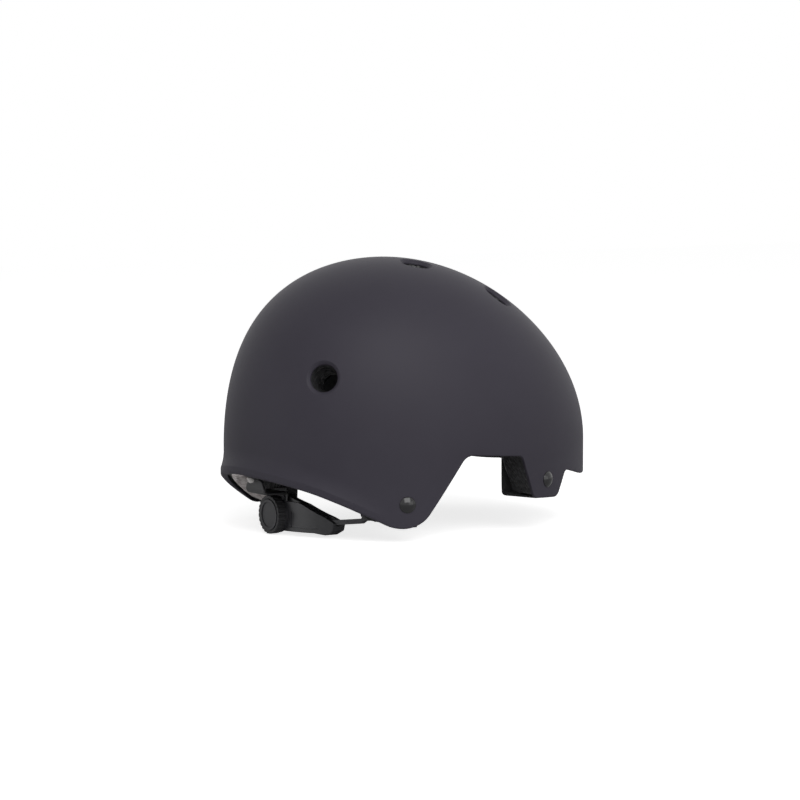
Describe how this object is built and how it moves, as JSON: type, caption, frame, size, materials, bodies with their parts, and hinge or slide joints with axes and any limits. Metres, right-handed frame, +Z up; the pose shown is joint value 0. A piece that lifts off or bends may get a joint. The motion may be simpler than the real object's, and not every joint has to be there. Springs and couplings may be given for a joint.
{
  "type": "skateboard helmet",
  "caption": "Rounded skateboard helmet: hard vented shell over a foam liner, lobed sides with ear arches, nape dial fit ring.",
  "frame": {"origin": "centre of the bounding box's bottom face, at the foot of the nape dial", "axes": "+Z up as worn, -Y towards the wearer's front, +Y to the nape, +X to the wearer's left"},
  "size_m": [0.2156, 0.2735, 0.1893],
  "materials": {
    "shell_plastic": "matte charcoal black moulded plastic",
    "eps_foam": "black expanded bead foam",
    "rivet_metal": "glossy black enamelled head",
    "washer_plastic": "plain black",
    "label_film": "blank pale grey film",
    "pad_fabric": "dark grey woven cloth over foam",
    "band_nylon": "satin dark nylon",
    "fit_plastic": "satin black",
    "gear_plastic": "black acetal",
    "dial_plastic": "satin black",
    "dial_rubber": "soft black grip",
    "screw_steel": "zinc plated",
    "stud_plastic": "pale grey nylon",
    "webbing": "black polyester webbing",
    "buckle_plastic": "black acetal",
    "keeper_elastic": "black elastic loop"
  },
  "bodies": {
    "helmet": {"outer_shell": "shell_plastic", "foam_liner": "eps_foam", "strap_rivets": "rivet_metal", "rivet_washers": "washer_plastic", "inner_label": "label_film", "side_pad_left": "pad_fabric", "side_pad_right": "pad_fabric", "brow_pad": "pad_fabric", "nape_pad": "pad_fabric", "crown_pad": "pad_fabric", "band_anchor_left": "fit_plastic", "band_anchor_right": "fit_plastic", "hanger_strip": "band_nylon", "hanger_stud": "stud_plastic", "front_strap_left": "webbing", "front_strap_right": "webbing", "rear_strap_left": "webbing", "rear_strap_right": "webbing", "chin_strap_left": "webbing", "chin_strap_right": "webbing", "strap_divider_left": "buckle_plastic", "strap_divider_right": "buckle_plastic", "strap_keeper": "keeper_elastic", "chin_pad": "pad_fabric", "buckle_socket": "buckle_plastic"},
    "cradle": {"cradle_base": "fit_plastic", "cradle_cover": "fit_plastic", "cradle_pads": "pad_fabric"},
    "dial": {"dial_knob": "dial_plastic", "dial_grip": "dial_rubber", "click_spring": "gear_plastic", "pinion": "gear_plastic", "dial_screw": "screw_steel"},
    "band_left": {"fit_band_left": "band_nylon"},
    "band_right": {"fit_band_right": "band_nylon"},
    "clip": {"buckle_clip": "buckle_plastic"}
  },
  "joints": [
    {"name": "cradle_slide", "type": "slide", "parent": "helmet", "child": "cradle", "axis": [0, -1, 0], "range_m": [0, 0.012], "deforming": ["hanger_strip"]},
    {"name": "dial_turn", "type": "hinge", "parent": "cradle", "child": "dial", "pos_m": [0, 0.10895, 0.01325], "axis": [0, -1, 0], "range_deg": [0, 154.79]},
    {"name": "band_left_slide", "type": "hinge", "parent": "cradle", "child": "band_left", "pos_m": [0, 0.03595, 0.01325], "axis": [0, 0, 1], "range_deg": [0, 10.58]},
    {"name": "band_right_slide", "type": "hinge", "parent": "cradle", "child": "band_right", "pos_m": [0, 0.03595, 0.01325], "axis": [0, 0, -1], "range_deg": [0, 10.32]},
    {"name": "buckle_release", "type": "slide", "parent": "helmet", "child": "clip", "axis": [-1, 0, 0], "range_m": [0, 0.012], "deforming": ["chin_strap_right"]}
  ],
  "couplings": [
    {"joint": "dial_turn", "follows": "cradle_slide", "rad_per_m": 222.22},
    {"joint": "band_left_slide", "follows": "cradle_slide", "rad_per_m": 15.175},
    {"joint": "band_right_slide", "follows": "cradle_slide", "rad_per_m": 14.793}
  ]
}
